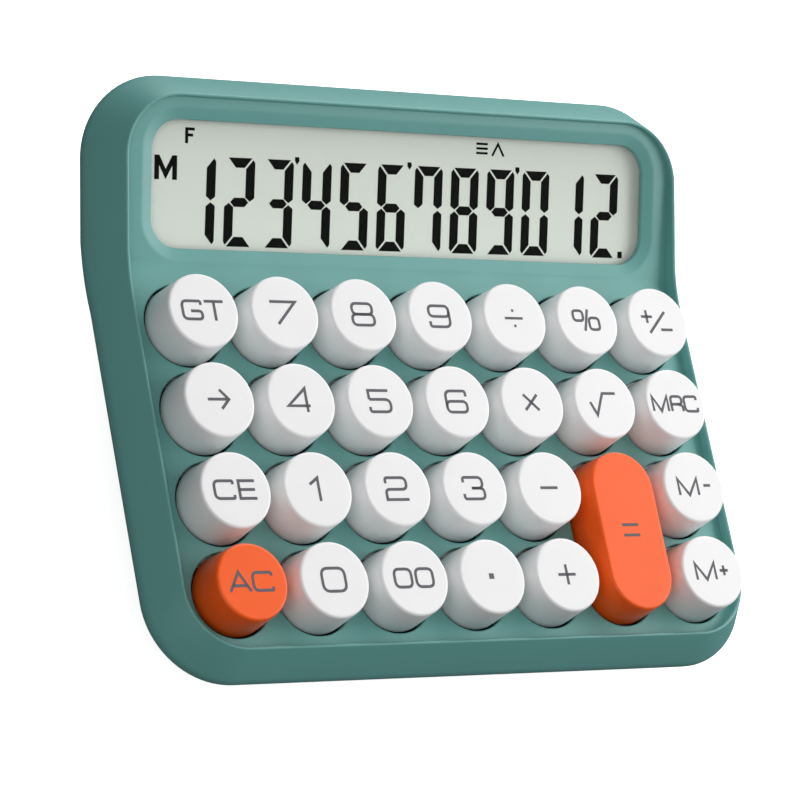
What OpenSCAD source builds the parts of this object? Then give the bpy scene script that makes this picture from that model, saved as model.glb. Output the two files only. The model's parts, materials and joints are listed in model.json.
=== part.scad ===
// Desktop calculator with 27 mechanical keys, in millimetres.
//
// Two frames are used below. The deck frame has its origin at the centre of the key grid, on the
// deck's top face: X to the right, Y up the face towards the display, Z out of the face. The desk
// frame is the part's own: +Z up, with the feet standing on Z = 0.

/* [Keys] */
// Distance between neighbouring keys
key_pitch = 19.05; // [18.6:0.05:20]
// Radius of a keycap's flat top
cap_top_r = 7.9; // [7:0.1:8]
// Radius of a keycap where it passes the deck
cap_base_r = 8.5; // [8.4:0.1:8.8]
// Height of a keycap's top above the deck
cap_rise = 8.6; // [8:0.1:10]
// Gap between a keycap and its opening in the deck
cap_gap = 0.5; // [0.3:0.05:0.6]
// How far a key travels
key_travel = 3.5; // [2.5:0.1:3.6]

/* [Case] */
// Slope of the key deck
tilt = 8; // [6:0.5:9]
// Half the width across the crest of the rim
crest_x = 69.2; // [69:0.1:71]
// Distance from the grid's centre to the crest of the front rim
crest_front = 40.4; // [40.2:0.1:42]
// Radius of the crest at the corners of the case
crest_r = 13; // [11:0.5:14]
// Height of the rim's crest above the deck
rim_h = 2.5; // [2:0.1:3]
// How far the wall bulges out past the crest
bulge = 4.8; // [4.4:0.1:5.2]
// Depth of the wall's widest line under the deck
wall_drop = 6.3; // [6:0.1:6.8]
// Thickness of the deck
deck_t = 1.8; // [1.6:0.1:2]
// Depth of the rear case's floor under the deck
floor_depth = 16.6; // [16.4:0.1:18]

/* [Display] */
// Extra slope of the rim beside the display
rim_bend = 18.9; // [18:0.1:20]
// Extra slope of the display deck
deck_fold = 22; // [21:0.5:22.5]
// Where the rim starts to bend
bend_y = 33.8; // [33:0.1:35]
// Radius of the bend, along the rim's crest
bend_r = 36; // [30:1:40]
// Length of the rim beside the display, from the bend to the rear crest
rim_len = 29.9; // [29:0.1:31]
// Where the two decks would meet in a sharp fold
fold_y = 41.4; // [41:0.1:42]
// Radius of the fold between the decks
fold_r = 8; // [4:1:10]
// Width of the window's opening
window_w = 124.4; // [118:0.2:125]
// Height of the window's opening
window_h = 26.4; // [24:0.2:26.6]
// Radius of the opening's corners
window_r = 6.3; // [4:0.1:8]
// Width of the chamfer round the opening
chamfer_w = 2.5; // [1:0.1:3]
// Depth of that chamfer
chamfer_d = 0.8; // [0.4:0.1:1]

/* [Base] */
// Radius of a rubber foot
foot_r = 5; // [4:0.5:6]
// Half the width of the wedge that lifts the rear
wedge_x = 50; // [45:1:52]
// Height of the wedge's floor above the desk
wedge_gap = 2.2; // [1.8:0.1:2.6]
// Diameter of a battery
cell_d = 10.5; // [10:0.1:10.5]
// Length of a battery without its button
cell_l = 43.5; // [43:0.1:44]

/* [Hidden] */
$fn = 64;
eps = 0.01;
columns = 7;
rows = 4;

// Sections of the case wall, as [distance out from the crest, height above the deck].
// The wall runs straight from the lip to the round under it, and wall_a is the angle of its face.
lip = 0.4;
under_r = 3.5;
inner_x = 1.7;
wall_run = bulge - under_r;
wall_fall = wall_drop + rim_h - lip;
wall_a = acos((lip - under_r) / norm([wall_run, wall_fall])) - atan2(wall_fall, wall_run);
rim_foot = -3;
pan_t = 1.8;
pan_edge = -11.6;
pan_lip = -7.6;

// The bend beside the display, and the fold between the decks.
bend_z = bend_r + rim_h;
fold_start = fold_y - fold_r * tan(deck_fold / 2);
plate_len = 33.8;
window_s = 15.5;

// Where one frame crosses into the next, the far piece is thinner by step all round and starts
// overlap inside the near one.
step = 0.05;
overlap = 0.5;

// The deck frame stands in the desk frame so that the front of the pan clears the desk, and so
// that the origin is under the middle of the bounding box.
desk_z = 24;
front_reach = (crest_front + wall_run) * cos(tilt) - wall_drop * sin(tilt) + under_r;
rear_c = rim_len + wall_run;
rear_z = -wall_drop - bend_z;
rear_y = bend_y + rear_c * cos(rim_bend) - rear_z * sin(rim_bend);
rear_drop = bend_z + rear_c * sin(rim_bend) + rear_z * cos(rim_bend);
rear_reach = rear_y * cos(tilt) - rear_drop * sin(tilt) + under_r;
desk_y = (front_reach - rear_reach) / 2;

// Keys: the column and row of the double-height one.
long_col = 5;
long_row = 2;
long_span = key_pitch;
opening_r = cap_base_r + cap_gap;

// Key switches, as heights above the deck.
skirt_z = -0.9;
cap_ceiling = cap_rise - 1.5;
stem_top = 4.5;
stem_foot = 0.7;
cover_top = 0.9;
flange_z = skirt_z - key_travel - 0.3;
flange_t = 1;
plate_t = 1.2;
plate_z = flange_z - flange_t;
board_z = -10.7;
board_t = 1.6;
board_w = 132;
board_h = 75.2;
board_corner = 8;
base_w = 13.6;
flange_w = 14.6;
slider_r = 2.95;
slider_foot = -5.2;
cavity_floor = board_z + 1;
spring_r = 2.3;
spring_top = -1.5;
pin_len = 1.7;
guide_offset = 10.5;
guide_pin_r = 1.5;

// Case bosses between the keys, and board bosses, as [x, y].
case_bosses = [[-2.5, 2.08], [2.5, 2.08], [-2.5, 1], [2.5, 1], [-0.5, -1], [0.5, -1]] * key_pitch;
board_bosses = [[-2.5, 0], [2.5, 0], [-0.5, 1], [0.5, 1]] * key_pitch;
boss_r = 2.6;
case_boss_foot = -13.9;
pilot_r = 1.1;

// Display stack, as depths under the display deck.
lens_z = -deck_t;
lens_t = 1;
lens_w = 127.4;
lens_h = 30.2;
lcd_z = lens_z - lens_t - 0.1;
lcd_t = 2.2;
lcd_w = 126;
lcd_h = 28.6;
holder_w = 130.4;
holder_h = 32;
holder_r = 6;
strip_y = lcd_h / 2 - 1.4;
strip_t = 1.2;
reflector_z = lcd_z - lcd_t - 0.1;
reflector_t = 0.3;
reflector_h = 2 * strip_y - strip_t - 0.4;
holder_foot = -7.4;
display_board_t = 1.2;

// Wedge and battery bay, in the desk frame; depths here are measured before desk_y is added.
wedge_front = 45;
wedge_rear = 70;
wedge_t = 2.4;
wedge_wall = 1.8;
wedge_corner = 5;
lead_x = 27.3;
lead_y = 55;
bay_x = 28;
door_w = 53.6;
door_front = 46.2;
door_t = 1.8;
tongue = 1;
cell_ys = [52.2, 62.8];
cell_z = wedge_gap + wedge_t + cell_d / 2 + 0.3;

teal = [0.43, 0.66, 0.63];
cap_white = [0.94, 0.94, 0.95];
cap_orange = [1, 0.42, 0.2];

// --- Frames ---

module on_desk() {
    translate([0, desk_y, desk_z])
        rotate([tilt, 0, 0]) children();
}

// Past the bend of the rim: Y runs along the rim's crest from the end of the bend.
module past_bend() {
    translate([0, bend_y, bend_z])
        rotate([rim_bend, 0, 0])
            translate([0, 0, -bend_z]) children();
}

// Past the fold of the deck: Y runs up the display deck, whose top is at Z = 0.
module past_fold() {
    translate([0, fold_start, fold_r])
        rotate([deck_fold, 0, 0])
            translate([0, 0, -fold_r]) children();
}

module standing() {
    translate([0, desk_y, 0]) children();
}

module both_sides() {
    children();
    mirror([1, 0, 0]) children();
}

// --- Key grid ---

function key_x(col) = (col - (columns - 1) / 2) * key_pitch;
function key_y(row) = ((rows - 1) / 2 - row) * key_pitch;
function long_y() = key_y(long_row) - long_span / 2;
function on_long(col, row) = col == long_col && row >= long_row;

// Every key's switch position, with the long key's single switch at its middle.
SWITCHES = concat(
    [for (row = [0:rows - 1]) for (col = [0:columns - 1])
        if (!on_long(col, row)) [key_x(col), key_y(row)]],
    [[key_x(long_col), long_y()]]
);

module at_switches() {
    for (p = SWITCHES) translate([p[0], p[1], 0]) children();
}

module at_guides() {
    for (side = [-1, 1])
        translate([key_x(long_col), long_y() + side * guide_offset, 0]) children();
}

module at_points(points) {
    for (p = points) translate([p[0], p[1], 0]) children();
}

// --- Case sections ---

function arc(cx, cz, r, from, to, steps) =
    [for (i = [0:steps]) let (a = from + (to - from) * i / steps) [cx + r * cos(a), cz + r * sin(a)]];

// Both sections shrink by inset where they cross from one frame into the next.
function rim_section(inset) = concat(
    arc(0, rim_h - lip, lip - inset, 180, wall_a, 6),
    arc(bulge - under_r, -wall_drop, under_r - inset, wall_a, -78, 9),
    [[inner_x + inset, -wall_drop - 2], [inner_x + inset, rim_foot - 1],
    [inner_x - 0.6 + inset, rim_foot + inset], [-lip + inset, rim_foot + inset]]
);

function pan_section(inset) = [
    [1.4 - inset, pan_lip - inset], [1.4 - inset, pan_edge],
    [1.4 - pan_edge - floor_depth - inset, -floor_depth + inset],
    [-7, -floor_depth + inset], [-7, -floor_depth + pan_t - inset],
    [-4, -floor_depth + pan_t - inset], [inset, -10.8], [inset, pan_lip - inset]
];

// Sweeps a wall section round the case: straight front, rounded corners, sides, the bend beside
// the display, and the rear.
module wall_sweep(section, section_past) {
    side_x = crest_x - crest_r;
    past_l = rim_len - crest_r;
    corner = [for (p = section) [crest_r + p[0], p[1]]];
    corner_past = [for (p = section_past) [crest_r + p[0], p[1]]];
    side = [for (p = section) [crest_x + p[0], p[1]]];
    side_past = [for (p = section_past) [crest_x + p[0], p[1]]];
    translate([-side_x, crest_r - crest_front, 0])
        rotate([90, 0, 90])
            linear_extrude(2 * side_x) polygon([for (p = corner) [-p[0], p[1]]]);
    both_sides() {
        translate([side_x, crest_r - crest_front, 0])
            rotate([0, 0, -90]) rotate_extrude(angle = 90) polygon(corner);
        translate([0, bend_y, 0])
            rotate([90, 0, 0])
                linear_extrude(bend_y + crest_front - crest_r) polygon(side);
        translate([0, bend_y, bend_z])
            rotate([0, 90, 0])
                rotate_extrude(angle = rim_bend)
                    polygon([for (p = side) [bend_z - p[1], p[0]]]);
        past_bend() {
            translate([0, past_l, 0])
                rotate([90, 0, 0]) linear_extrude(past_l + overlap) polygon(side_past);
            translate([side_x, past_l, 0])
                rotate_extrude(angle = 90) polygon(corner_past);
        }
    }
    past_bend()
        translate([-side_x, past_l, 0])
            rotate([90, 0, 90]) linear_extrude(2 * side_x) polygon(corner_past);
}

// A flat plate with two rounded corners at its far end, from y0 to y1, where the far end is y1.
module round_ended_plate(half_w, y0, y1, r, z, t) {
    dir = y1 > y0 ? 1 : -1;
    low = min(y0, y1 - dir * r);
    high = max(y0, y1 - dir * r);
    translate([-half_w, low, z]) cube([2 * half_w, high - low, t]);
    translate([-half_w + r, min(y0, y1), z]) cube([2 * (half_w - r), abs(y1 - y0), t]);
    both_sides() translate([half_w - r, y1 - dir * r, z]) cylinder(r = r, h = t);
}

// A block with rounded corners that widens from its foot to its top, centred on the origin.
module flared_block(w, h, r, flare, t) {
    for (x = [-1, 1], y = [-1, 1])
        translate([x * (w / 2 - r), y * (h / 2 - r), 0])
            cylinder(r1 = r, r2 = r + flare, h = t);
    translate([-w / 2 + r, 0, 0])
        rotate([90, 0, 90]) linear_extrude(w - 2 * r)
            polygon([[-h / 2, 0], [h / 2, 0], [h / 2 + flare, t], [-h / 2 - flare, t]]);
    translate([0, h / 2 - r, 0])
        rotate([90, 0, 0]) linear_extrude(h - 2 * r)
            polygon([[-w / 2, 0], [w / 2, 0], [w / 2 + flare, t], [-w / 2 - flare, t]]);
}

// --- Front case ---

module key_openings() {
    for (row = [0:rows - 1], col = [0:columns - 1])
        if (!on_long(col, row))
            translate([key_x(col), key_y(row), -deck_t - 1]) cylinder(r = opening_r, h = deck_t + 2);
    translate([key_x(long_col), long_y(), -deck_t - 1])
        obround(opening_r, opening_r, long_span, deck_t + 2);
}

module key_deck() {
    inner = crest_x - lip + 0.5;
    difference() {
        round_ended_plate(inner, fold_start, -crest_front + lip - 0.5, crest_r - lip + 0.5,
            -deck_t, deck_t);
        key_openings();
    }
    translate([0, fold_start, fold_r])
        rotate([0, 90, 0])
            rotate_extrude(angle = deck_fold)
                translate([fold_r, -inner]) square([deck_t, 2 * inner]);
}

module display_deck() {
    inner = crest_x - lip + 0.5;
    past_fold() difference() {
        round_ended_plate(inner - step, -overlap / 2, plate_len, crest_r - lip + 0.5,
            -deck_t + step, deck_t - 2 * step);
        translate([0, window_s, -deck_t - 1])
            flared_block(window_w, window_h, window_r, 0, deck_t + 1);
        translate([0, window_s, -chamfer_d])
            flared_block(window_w, window_h, window_r, chamfer_w * (chamfer_d + 0.2) / chamfer_d,
                chamfer_d + 0.2);
    }
}

module bosses(points, foot) {
    at_points(points)
        translate([0, 0, foot]) difference() {
            cylinder(r = boss_r, h = -foot - deck_t / 2);
            translate([0, 0, -1]) cylinder(r = pilot_r, h = 7);
        }
}

module front_case() {
    color(teal) on_desk() {
        wall_sweep(rim_section(0), rim_section(step));
        key_deck();
        display_deck();
        bosses(case_bosses, case_boss_foot);
        bosses(board_bosses, board_z);
    }
}

// --- Rear case ---

module pan() {
    inner = crest_x - 6;
    round_ended_plate(inner, bend_y, -crest_front + 6, crest_r - 6, -floor_depth, pan_t);
    translate([0, bend_y, bend_z])
        rotate([0, 90, 0])
            rotate_extrude(angle = rim_bend)
                translate([bend_z + floor_depth - pan_t, -inner]) square([pan_t, 2 * inner]);
    past_bend()
        round_ended_plate(inner - step, -overlap, rim_len - 6, crest_r - 6,
            -floor_depth + step, pan_t - 2 * step);
}

// A point of the deck frame's YZ plane, in the desk frame before desk_y is added.
function standing_point(y, z) =
    [y * cos(tilt) - z * sin(tilt), y * sin(tilt) + z * cos(tilt) + desk_z];

// The middle of the pan's floor at an angle round the bend, or past it by a length.
function floor_at(a, past = 0) =
    let (r = bend_z + floor_depth - pan_t / 2)
    standing_point(bend_y + r * sin(a) + past * cos(a), bend_z - r * cos(a) + past * sin(a));

function floor_height(y, a, b) = a[1] + (b[1] - a[1]) * (y - a[0]) / (b[0] - a[0]);

// The side view of the wedge, from y0 to y1 and up to the floor of the pan.
function wedge_profile(y0, y1, z0) =
    let (mid = floor_at(rim_bend / 2), end = floor_at(rim_bend), far = floor_at(rim_bend, 20))
    [[y0, z0], [y1, z0], [y1, floor_height(y1, end, far)], end, [y0, floor_height(y0, mid, end)]];

module wedge_block(half_w, y0, y1, z0) {
    translate([-half_w, 0, 0])
        rotate([90, 0, 90]) linear_extrude(2 * half_w) polygon(wedge_profile(y0, y1, z0));
}

module door_cut() {
    play = 0.2;
    half = door_w / 2 + play;
    translate([-half, door_front - play, wedge_gap - 1])
        cube([2 * half, wedge_rear - door_front + 2, wedge_t + 1 + eps]);
    translate([-half - tongue, door_front - play, wedge_gap + 0.7])
        cube([2 * (half + tongue), wedge_rear - door_front + 2, 1]);
}

module wedge() {
    floor_top = wedge_gap + wedge_t;
    difference() {
        intersection() {
            wedge_block(wedge_x, wedge_front, wedge_rear, wedge_gap);
            translate([0, (wedge_front + wedge_rear) / 2, 0])
                flared_block(2 * wedge_x, wedge_rear - wedge_front, wedge_corner, 0, 50);
        }
        wedge_block(wedge_x - wedge_wall, wedge_front + wedge_wall, wedge_rear - wedge_wall, floor_top);
        door_cut();
        at_rear_feet() translate([0, 0, -1]) cylinder(r = foot_r + 0.1, h = wedge_gap + 1.8);
    }
    both_sides() difference() {
        intersection() {
            wedge_block(bay_x + 1.5, wedge_front + 1, wedge_rear - 1, floor_top - 0.5);
            translate([bay_x, wedge_front, 0]) cube([1.5, wedge_rear - wedge_front, 40]);
        }
        translate([0, 0, -eps]) door_cut();
    }
}

module at_leads() {
    both_sides() translate([lead_x, lead_y, 0]) children();
}

module at_front_feet() {
    both_sides() translate([52, -27, 0]) children();
}

module at_rear_feet() {
    both_sides() translate([42, 57, 0]) children();
}

module rear_case() {
    color(teal * 0.8) {
        difference() {
            union() {
                on_desk() {
                    wall_sweep(pan_section(0), pan_section(step));
                    pan();
                }
                standing() at_front_feet()
                    translate([0, 0, wedge_gap]) cylinder(r = foot_r + 1.5, h = 3);
            }
            standing() at_front_feet() translate([0, 0, -1]) cylinder(r = foot_r + 0.1, h = 4);
            on_desk() at_points(case_bosses)
                translate([0, 0, -floor_depth - 1]) {
                    cylinder(r = 1.4, h = 4);
                    cylinder(r = 2.6, h = 1.9);
                }
            standing() at_leads() cylinder(r = 1, h = 40);
        }
        standing() wedge();
    }
}

module battery_door() {
    grip_ribs = 4;
    color(teal * 0.8) standing() {
        translate([-door_w / 2, door_front, wedge_gap])
            cube([door_w, wedge_rear - door_front, door_t]);
        translate([-door_w / 2, wedge_rear - wedge_wall, wedge_gap])
            cube([door_w, wedge_wall, wedge_t - 0.15]);
        translate([-door_w / 2 - tongue, door_front + 0.1, wedge_gap + 0.8])
            cube([door_w + 2 * tongue, wedge_rear - door_front - 0.1, 0.8]);
        for (i = [0:grip_ribs - 1])
            translate([-8, wedge_rear - 4 - 2 * i, wedge_gap - 0.5]) cube([16, 0.8, 0.7]);
    }
}

module foot_set() {
    translate([0, 0, 0]) cylinder(r1 = foot_r - 0.6, r2 = foot_r, h = 0.6);
    translate([0, 0, 0.6]) cylinder(r = foot_r, h = wedge_gap + 0.2);
}

module front_feet() {
    color([0.16, 0.16, 0.17]) standing() at_front_feet() foot_set();
}

module rear_feet() {
    color([0.16, 0.16, 0.17]) standing() at_rear_feet() foot_set();
}

// --- Display ---

module in_display(z) {
    on_desk() past_fold() translate([0, window_s, z]) children();
}

module slab(w, h, t) {
    translate([-w / 2, -h / 2, 0]) cube([w, h, t]);
}

module window_lens() {
    color([0.85, 0.88, 0.86, 0.4]) in_display(lens_z - lens_t)
        flared_block(lens_w, lens_h, window_r, 0, lens_t);
}

module lcd_panel() {
    color([0.8, 0.83, 0.79]) in_display(lcd_z - lcd_t) slab(lcd_w, lcd_h, lcd_t);
}

module lcd_reflector() {
    color([0.85, 0.86, 0.85]) in_display(reflector_z - reflector_t)
        slab(lcd_w - 1, reflector_h, reflector_t);
}

module lcd_holder() {
    color([0.3, 0.31, 0.32]) in_display(holder_foot) difference() {
        flared_block(holder_w, holder_h, holder_r, 0, lcd_z - holder_foot);
        translate([0, 0, 1.4]) slab(lcd_w + 0.4, lcd_h + 0.4, 10);
        translate([0, 0, -1]) slab(lcd_w - 8, lcd_h - 1, 10);
        translate([0, 0, -1]) display_screw_points() cylinder(r = 0.7, h = 20);
    }
}

module display_screw_points() {
    for (x = [-0.5, 0.5], y = [-0.5, 0.5])
        translate([x * (holder_w - 2.4), y * (holder_h - 8), 0]) children();
}

module connector_strips() {
    color([0.85, 0.5, 0.55]) in_display(holder_foot)
        for (side = [-1, 1])
            translate([0, side * strip_y, 0])
                slab(100, strip_t, lcd_z - lcd_t - holder_foot - 0.1);
}

module display_board() {
    color([0.1, 0.35, 0.2]) in_display(holder_foot - display_board_t) difference() {
        flared_block(holder_w, holder_h, holder_r, 0, display_board_t);
        translate([0, 0, -1]) display_screw_points() cylinder(r = 0.9, h = 4);
    }
}

module display_screws() {
    color([0.75, 0.75, 0.77]) in_display(holder_foot - display_board_t)
        display_screw_points() {
            translate([0, 0, -0.9]) cylinder(r = 1.2, h = 0.9);
            cylinder(r = 0.65, h = 4);
        }
}

module controller_chip() {
    color([0.08, 0.08, 0.09]) in_display(holder_foot - display_board_t - 1.4) {
        cylinder(r = 6, h = 1.4);
        translate([-30, -3, 0.4]) cube([8, 3, 1]);
        translate([20, 2, 0]) cube([3.2, 5, 1.4]);
    }
}

// A flat cable from the rear edge of the key board up to the display board.
module ribbon_cable() {
    half = 10;
    top = board_z - board_t;
    color([0.75, 0.73, 0.68]) on_desk()
        translate([-half, 0, 0])
            rotate([90, 0, 90]) linear_extrude(2 * half)
                polygon([[35, top], [35, top - 0.4], [41, top - 0.4], [50.9, -5.9],
                    [50.7, -5.55], [40.85, top]]);
}

// --- Keyboard ---

module key_board() {
    color([0.12, 0.4, 0.22]) on_desk() difference() {
        translate([0, 0, board_z - board_t])
            flared_block(board_w, board_h, board_corner, 0, board_t);
        translate([0, 0, board_z - board_t - 1]) {
            at_switches() {
                cylinder(r = 2.05, h = board_t + 2);
                for (p = contact_points()) translate(p) cylinder(r = 0.75, h = board_t + 2);
            }
            at_points(case_bosses) cylinder(r = boss_r + 0.4, h = board_t + 2);
            at_points(board_bosses) cylinder(r = 1.3, h = board_t + 2);
        }
    }
}

function contact_points() = [[-3.8, 2.5], [2.5, 5]];

module switch_plate() {
    color([0.72, 0.73, 0.75]) on_desk() difference() {
        translate([0, 0, plate_z - plate_t])
            flared_block(board_w, board_h, board_corner, 0, plate_t);
        at_switches()
            translate([-base_w / 2 - 0.1, -base_w / 2 - 0.1, plate_z - plate_t - 1])
                cube([base_w + 0.2, base_w + 0.2, plate_t + 2]);
        translate([0, 0, plate_z - plate_t - 1]) {
            at_points(case_bosses) cylinder(r = boss_r + 0.2, h = plate_t + 2);
            at_points(board_bosses) cylinder(r = boss_r + 0.2, h = plate_t + 2);
            at_guides() cylinder(r = guide_pin_r + 0.3, h = plate_t + 2);
        }
    }
}

module switch_bases() {
    color([0.2, 0.2, 0.22]) on_desk() at_switches() difference() {
        union() {
            translate([-base_w / 2, -base_w / 2, board_z])
                cube([base_w, base_w, flange_z - board_z]);
            translate([-flange_w / 2, -flange_w / 2, plate_z])
                cube([flange_w, flange_w, flange_t]);
            translate([0, 0, board_z - board_t - pin_len])
                cylinder(r = 1.95, h = board_t + pin_len + 1);
        }
        difference() {
            translate([0, 0, cavity_floor]) cylinder(r = 5.5, h = 10);
            translate([0, 0, cavity_floor - 1]) cylinder(r = 1.5, h = 4.5);
        }
        for (p = contact_points())
            translate([p[0], p[1], board_z - 1]) cylinder(r = 0.75, h = 3);
    }
}

module switch_covers() {
    color([0.85, 0.86, 0.88, 0.6]) on_desk() at_switches() difference() {
        translate([0, 0, flange_z]) cylinder(r1 = 6.5, r2 = 5.5, h = cover_top - flange_z);
        translate([0, 0, flange_z - 1]) cylinder(r = 4.8, h = cover_top - flange_z - 0.2);
        translate([0, 0, 0]) cylinder(r = slider_r + 0.2, h = 10, center = true);
    }
}

module switch_springs() {
    color([0.8, 0.8, 0.82]) on_desk() at_switches()
        translate([0, 0, cavity_floor]) difference() {
            cylinder(r = spring_r, h = spring_top - cavity_floor);
            translate([0, 0, -1]) cylinder(r = spring_r - 0.4, h = 20);
        }
}

module switch_contacts() {
    color([0.8, 0.6, 0.3]) on_desk() at_switches()
        for (p = contact_points())
            translate([p[0], p[1], board_z - board_t - 1.2]) cylinder(r = 0.7, h = board_t + 3);
}

module long_key_guides() {
    color([0.9, 0.9, 0.88]) on_desk() at_guides()
        translate([0, 0, plate_z]) difference() {
            cylinder(r = 2.8, h = -0.6 - plate_z);
            translate([0, 0, -1]) cylinder(r = guide_pin_r + 0.08, h = 10);
        }
}

// --- Keys ---

// Two cones side by side with the wedge between them: a tapered obround, or a cone at no span.
module obround(r1, r2, span, h) {
    if (span > 0) {
        for (side = [-0.5, 0.5]) translate([0, side * span, 0]) cylinder(r1 = r1, r2 = r2, h = h);
        translate([0, span / 2, 0]) rotate([90, 0, 0]) linear_extrude(span)
            polygon([[-r1, 0], [r1, 0], [r2, h], [-r2, h]]);
    } else {
        cylinder(r1 = r1, r2 = r2, h = h);
    }
}

// The cap's outer form: a drafted body with a small rounded edge at the top.
module cap_form(span) {
    edge = 0.6;
    draft = (cap_base_r - cap_top_r - 0.1) / cap_rise;
    shoulder = cap_rise - edge;
    r_low = cap_base_r - draft * skirt_z;
    r_high = cap_base_r - draft * shoulder;
    translate([0, 0, skirt_z]) obround(r_low, r_high, span, shoulder - skirt_z);
    translate([0, 0, shoulder]) obround(r_high, r_high - 0.2, span, edge * 0.6);
    translate([0, 0, shoulder + edge * 0.6])
        obround(r_high - 0.2, r_high - 0.55, span, edge * 0.4);
}

module stem_cross(play, h) {
    translate([0, 0, h / 2]) {
        cube([4.1 + play, 1.3 + play, h], center = true);
        cube([1.2 + play, 4.1 + play, h], center = true);
    }
}

module keycap(span) {
    wall = 1.2;
    difference() {
        union() {
            difference() {
                cap_form(span);
                translate([0, 0, skirt_z - 1])
                    obround(cap_base_r - wall + 0.1, cap_top_r - wall, span,
                        cap_ceiling - skirt_z + 1);
            }
            translate([0, 0, 1]) cylinder(r = 2.75, h = cap_ceiling - 0.8);
            if (span > 0)
                for (side = [-1, 1])
                    translate([0, side * guide_offset, -3.5])
                        cylinder(r = guide_pin_r, h = cap_ceiling + 3.7);
        }
        stem_cross(0.1, stem_top + 0.2);
    }
}

module slider() {
    difference() {
        union() {
            translate([0, 0, slider_foot]) cylinder(r = slider_r, h = stem_foot - slider_foot);
            translate([0, 0, -1.8]) cylinder(r = 4.4, h = 1.3);
        }
        translate([0, 0, slider_foot - 1])
            cylinder(r = spring_r + 0.15, h = spring_top - slider_foot + 1);
    }
    translate([0, 0, stem_foot - eps]) stem_cross(0, stem_top - stem_foot);
}

module key(col, row, tint = cap_white, span = 0) {
    color(tint) on_desk() translate([key_x(col), key_y(row) - span / 2, 0]) {
        keycap(span);
        slider();
    }
}

// --- Fasteners and power ---

module screw(r, length, head_r, head_h) {
    translate([0, 0, -head_h]) cylinder(r = head_r, h = head_h);
    cylinder(r = r, h = length);
}

module case_screws() {
    color([0.7, 0.7, 0.72]) on_desk()
        at_points(case_bosses)
            translate([0, 0, -floor_depth + 0.9]) screw(pilot_r, 6.5, 2.3, 0.8);
}

module board_screws() {
    color([0.7, 0.7, 0.72]) on_desk() at_points(board_bosses)
        translate([0, 0, board_z - board_t]) screw(pilot_r, 6, 2, 1);
}

module battery_cells() {
    color([0.25, 0.3, 0.33]) standing()
        for (i = [0, 1])
            translate([0, cell_ys[i], cell_z]) rotate([0, i == 0 ? 90 : -90, 0]) {
                translate([0, 0, -cell_l / 2]) cylinder(d = cell_d, h = cell_l);
                translate([0, 0, cell_l / 2]) cylinder(d = 3.8, h = 1);
            }
}

module battery_contacts() {
    plate_x = bay_x - 0.6;
    color([0.8, 0.8, 0.82]) standing() {
        both_sides() for (y = cell_ys)
            translate([plate_x, y - 4, cell_z - 4]) cube([0.4, 8, 8]);
        for (i = [0, 1])
            translate([0, cell_ys[i], cell_z]) rotate([0, i == 0 ? 90 : -90, 0]) {
                translate([0, 0, cell_l / 2 + 1.05])
                    cylinder(r = 1.8, h = plate_x - cell_l / 2 - 1.05);
                translate([0, 0, -plate_x])
                    cylinder(r1 = 3.4, r2 = 2, h = plate_x - cell_l / 2 - 0.05);
            }
    }
}

module battery_leads() {
    foot = cell_z + 4;
    color([0.7, 0.15, 0.12]) standing() at_leads()
        translate([0, 0, foot]) cylinder(r = 0.6, h = 27.5 - foot);
}

front_case();
rear_case();
battery_door();
window_lens();
lcd_panel();
lcd_reflector();
lcd_holder();
connector_strips();
display_board();
controller_chip();
ribbon_cable();
key_board();
switch_plate();
switch_bases();
switch_covers();
switch_springs();
switch_contacts();
long_key_guides();
case_screws();
board_screws();
display_screws();
front_feet();
rear_feet();
battery_cells();
battery_contacts();
battery_leads();
key(0, 0);  // key_gt
key(1, 0);  // key_7
key(2, 0);  // key_8
key(3, 0);  // key_9
key(4, 0);  // key_divide
key(5, 0);  // key_percent
key(6, 0);  // key_sign
key(0, 1);  // key_backspace
key(1, 1);  // key_4
key(2, 1);  // key_5
key(3, 1);  // key_6
key(4, 1);  // key_multiply
key(5, 1);  // key_root
key(6, 1);  // key_mrc
key(0, 2);  // key_ce
key(1, 2);  // key_1
key(2, 2);  // key_2
key(3, 2);  // key_3
key(4, 2);  // key_minus
key(long_col, long_row, cap_orange, long_span);  // key_equals
key(6, 2);  // key_m_minus
key(0, 3, cap_orange);  // key_ac
key(1, 3);  // key_0
key(2, 3);  // key_00
key(3, 3);  // key_point
key(4, 3);  // key_plus
key(6, 3);  // key_m_plus
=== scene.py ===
"""The looks of the desktop calculator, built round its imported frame.

Lengths are in millimetres in the frame of the key deck unless a name says otherwise: the origin is
on the deck amid the keys, X to the right, Y up the face towards the display, Z out of the face.
"""

import json
import math

import bmesh
import bpy
from mathutils import Matrix, Vector
from mathutils.geometry import delaunay_2d_cdt


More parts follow.
